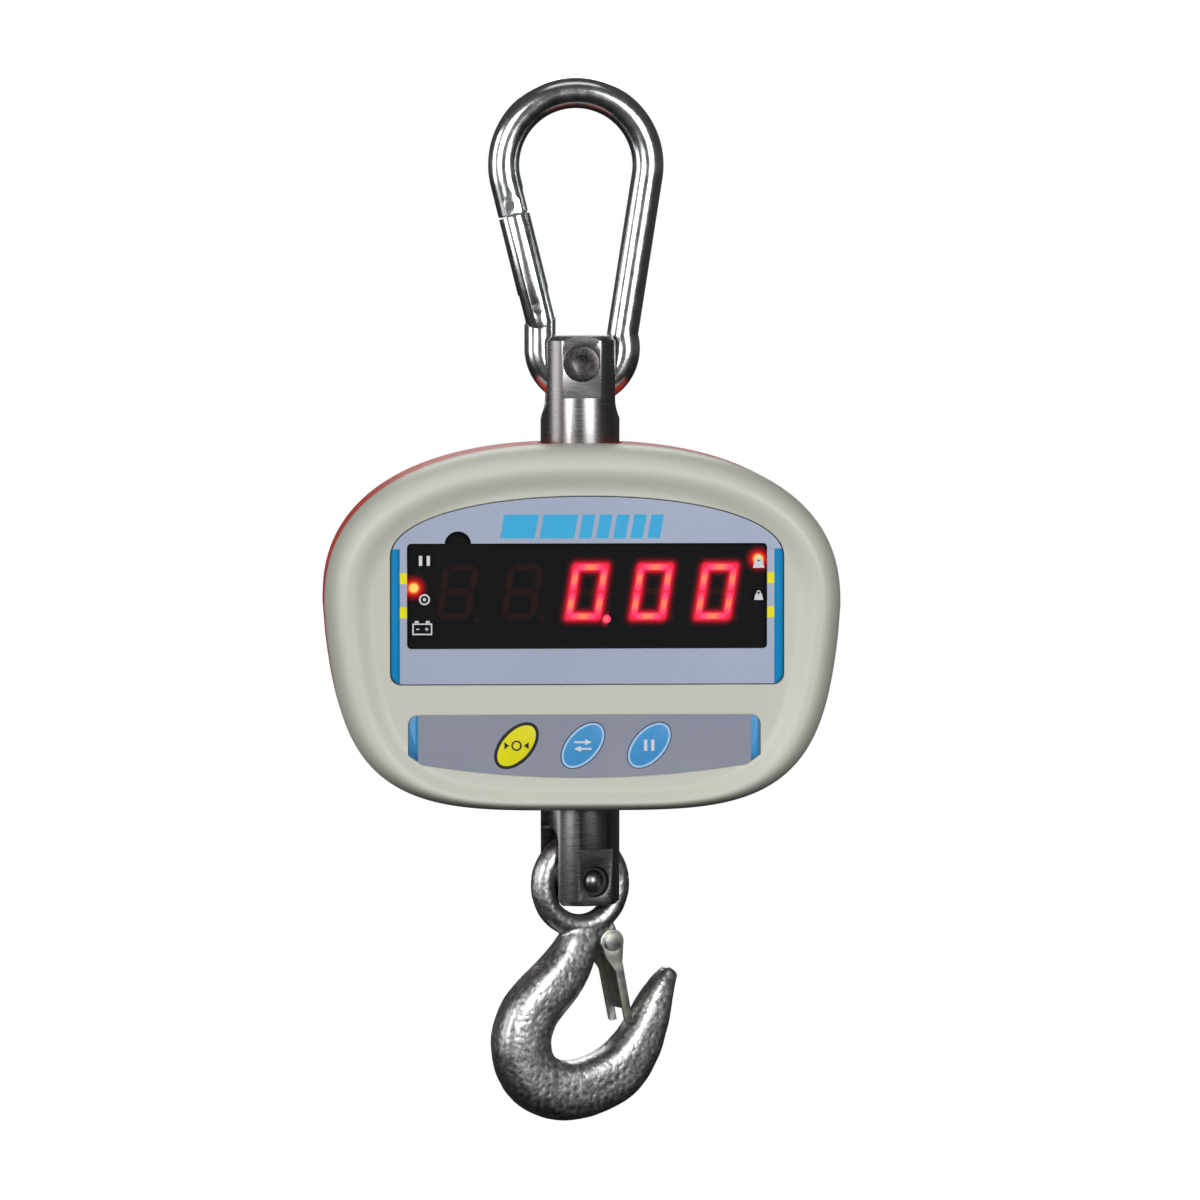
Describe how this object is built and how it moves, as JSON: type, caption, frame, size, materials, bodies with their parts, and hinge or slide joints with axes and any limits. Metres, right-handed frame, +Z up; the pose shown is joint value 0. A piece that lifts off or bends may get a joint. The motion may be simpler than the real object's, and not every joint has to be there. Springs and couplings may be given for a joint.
{
  "type": "crane scale",
  "caption": "Hanging digital crane scale with snap hook, red-digit display head with oval keys, swivelling fork and forged eye hook with safety latch.",
  "frame": {"origin": "inner top of the snap hook's bow, where it bears on whatever it hangs from, on the load line", "axes": "+Z up along the load line, +X right as the display is read, -Y out of the display"},
  "size_m": [0.1872, 0.07, 0.3811],
  "materials": {
    "zinc_steel": "bright zinc plate",
    "stainless": "turned and brushed",
    "black_steel": "black oxide, oiled",
    "bearing_steel": "ground",
    "spring_steel": "drawn wire",
    "forged_zinc": "rough forging, zinc plated",
    "yellow_zinc": "yellow passivated zinc",
    "cell_alloy": "milled",
    "gauge_foil": "polyimide foil",
    "beige_abs": "fine spark texture",
    "red_abs": "fine spark texture",
    "black_rubber": "matt",
    "label_film": "silver-blue printed polyester",
    "dark_window": "smoked acrylic",
    "keypad_film": "grey printed polyester",
    "yellow_film": "printed polyester",
    "blue_film": "printed polyester",
    "circuit_board": "solder mask",
    "black_plastic": "moulded",
    "led_red": "tinted epoxy",
    "cable_grey": "PVC",
    "battery_wrap": "heat-shrink sleeve",
    "lead_red": "PVC",
    "plate_silver": "satin, blank"
  },
  "bodies": {
    "carabiner": {"carabiner_frame": "zinc_steel", "gate_nose_pin": "zinc_steel"},
    "gate": {"gate_tube": "zinc_steel", "gate_rivet": "zinc_steel", "gate_spring": "spring_steel", "gate_plunger": "spring_steel"},
    "scale": {"upper_fork": "stainless", "upper_pin": "black_steel", "upper_pin_nut": "zinc_steel", "upper_lock_nut": "zinc_steel", "load_cell": "cell_alloy", "strain_gauges": "gauge_foil", "load_cell_cable": "cable_grey", "swivel_cap": "stainless", "swivel_cup": "stainless", "lower_race": "bearing_steel", "front_bezel": "beige_abs", "rear_cover": "red_abs", "housing_gasket": "black_rubber", "housing_screws": "zinc_steel", "top_grommet": "black_rubber", "bottom_grommet": "black_rubber", "display_label": "label_film", "display_window": "dark_window", "keypad_overlay": "keypad_film", "key_board": "circuit_board", "tact_switches": "black_plastic", "display_board": "circuit_board", "led_digits": "black_plastic", "indicator_leds": "led_red", "ir_receiver": "black_plastic", "ribbon_cable": "cable_grey", "chassis_plate": "zinc_steel", "chassis_screws": "zinc_steel", "main_board": "circuit_board", "board_components": "black_plastic", "battery_pack": "battery_wrap", "battery_strap": "black_rubber", "battery_lead": "lead_red", "charge_socket": "black_plastic", "rating_plate": "plate_silver"},
    "lower_fork": {"bearing_balls": "bearing_steel", "upper_race": "bearing_steel", "swivel_nut": "zinc_steel", "split_pin": "zinc_steel", "lower_fork": "stainless", "hook_pin": "black_steel", "hook_pin_nut": "zinc_steel", "hook_pin_sleeve": "bearing_steel"},
    "key_zero_button": {"key_zero": "yellow_film"},
    "key_unit_button": {"key_unit": "blue_film"},
    "key_hold_button": {"key_hold": "blue_film"},
    "hook": {"load_hook": "forged_zinc", "latch_rivet": "yellow_zinc"},
    "latch": {"safety_latch": "yellow_zinc", "latch_spring": "spring_steel"}
  },
  "joints": [
    {"name": "gate_hinge", "type": "hinge", "parent": "carabiner", "child": "gate", "pos_m": [-0.0156, 0, -0.07276], "axis": [0, 1, 0], "range_deg": [0, 28], "stiffness_Nm_per_rad": 0.3, "springref_deg": -20.05},
    {"name": "scale_swing", "type": "hinge", "parent": "carabiner", "child": "scale", "pos_m": [0, 0, -0.0927], "axis": [0, 1, 0], "range_deg": [-60, 60]},
    {"name": "key_zero_press", "type": "slide", "parent": "scale", "child": "key_zero_button", "axis": [0, 1, 0], "range_m": [0, 0.0004], "stiffness_N_per_m": 1500, "springref_m": -0.0005},
    {"name": "key_unit_press", "type": "slide", "parent": "scale", "child": "key_unit_button", "axis": [0, 1, 0], "range_m": [0, 0.0004], "stiffness_N_per_m": 1500, "springref_m": -0.0005},
    {"name": "key_hold_press", "type": "slide", "parent": "scale", "child": "key_hold_button", "axis": [0, 1, 0], "range_m": [0, 0.0004], "stiffness_N_per_m": 1500, "springref_m": -0.0005},
    {"name": "hook_swivel", "type": "hinge", "parent": "scale", "child": "lower_fork", "pos_m": [0, 0, -0.236], "axis": [0, 0, 1], "continuous": true},
    {"name": "hook_swing", "type": "hinge", "parent": "lower_fork", "child": "hook", "pos_m": [0, 0, -0.2814], "axis": [-0.4067, 0.9135, 0], "range_deg": [-60, 60]},
    {"name": "latch_hinge", "type": "hinge", "parent": "hook", "child": "latch", "pos_m": [0.00895, 0.00399, -0.3042], "axis": [-0.4067, 0.9135, 0], "range_deg": [0, 28], "stiffness_Nm_per_rad": 0.03, "springref_deg": -28.65}
  ]
}
